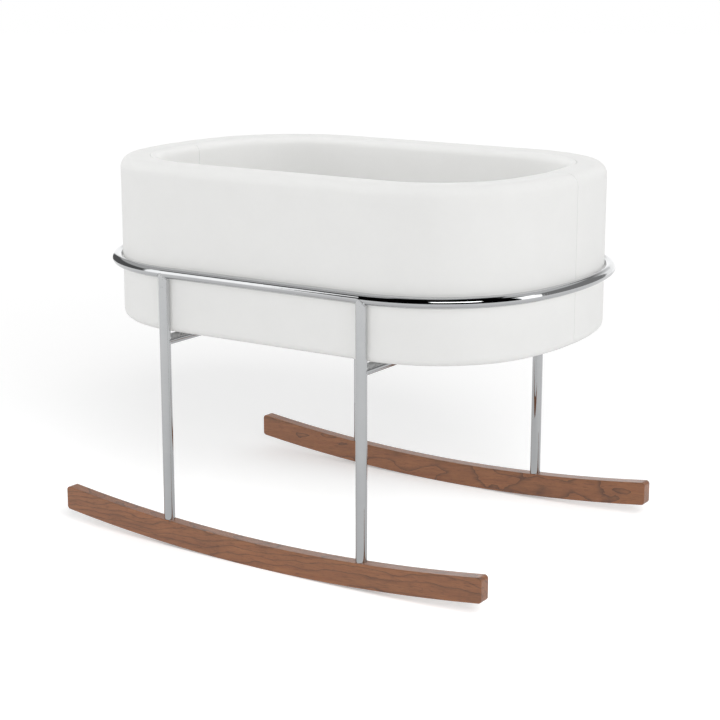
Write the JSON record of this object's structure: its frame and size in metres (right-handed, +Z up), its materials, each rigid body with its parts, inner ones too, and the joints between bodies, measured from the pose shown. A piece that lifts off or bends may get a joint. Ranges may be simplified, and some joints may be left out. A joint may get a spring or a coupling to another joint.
{
  "type": "rocking bassinet",
  "caption": "Rocking bassinet: an oval upholstered basket with a mattress, seated in a chromed tube ring with legs and crossbars on two curved walnut runners.",
  "frame": {"origin": "on the floor under the middle of the basket", "axes": "+X along the length, the way it rocks; -Y towards the front; +Z up"},
  "size_m": [0.84, 0.584, 0.629],
  "materials": {
    "chrome_tube": "polished chrome plate",
    "walnut": "satin oiled walnut",
    "zinc_steel": "zinc plated",
    "rubber_pad": "matte black",
    "plywood": "bare birch plywood",
    "foam": "open-cell foam",
    "cover_cloth": "smooth off-white upholstery cloth",
    "liner_cloth": "smooth off-white upholstery cloth",
    "dust_cloth": "thin non-woven cloth",
    "cotton_sheet": "plain woven cotton"
  },
  "bodies": {
    "stand": {"frame_ring": "chrome_tube", "leg_front_left": "chrome_tube", "leg_front_right": "chrome_tube", "leg_back_left": "chrome_tube", "leg_back_right": "chrome_tube", "crossbar_left": "chrome_tube", "crossbar_right": "chrome_tube", "leg_inserts": "zinc_steel", "runner_front": "walnut", "runner_back": "walnut", "runner_bolts": "zinc_steel", "runner_washers": "zinc_steel", "crossbar_pads": "rubber_pad"},
    "basket": {"base_board": "plywood", "base_screws": "zinc_steel", "wall_core_front": "plywood", "wall_core_back": "plywood", "wall_splice_left": "plywood", "wall_splice_right": "plywood", "splice_screws": "zinc_steel", "foam_outer_front": "foam", "foam_outer_back": "foam", "foam_inner_front": "foam", "foam_inner_back": "foam", "rim_foam_front": "foam", "rim_foam_back": "foam", "cover_front": "cover_cloth", "cover_back": "cover_cloth", "liner_front": "liner_cloth", "liner_back": "liner_cloth", "liner_floor": "liner_cloth", "dust_cover": "dust_cloth", "cover_staples": "zinc_steel"},
    "mattress": {"mattress_foam": "foam", "mattress_cover": "cotton_sheet", "fitted_sheet": "cotton_sheet"}
  },
  "joints": [
    {"name": "basket_lift", "type": "slide", "parent": "stand", "child": "basket", "axis": [0, 0, 1], "range_m": [0, 0.26]},
    {"name": "mattress_lift", "type": "slide", "parent": "basket", "child": "mattress", "axis": [0, 0, 1], "range_m": [0, 0.28]}
  ]
}
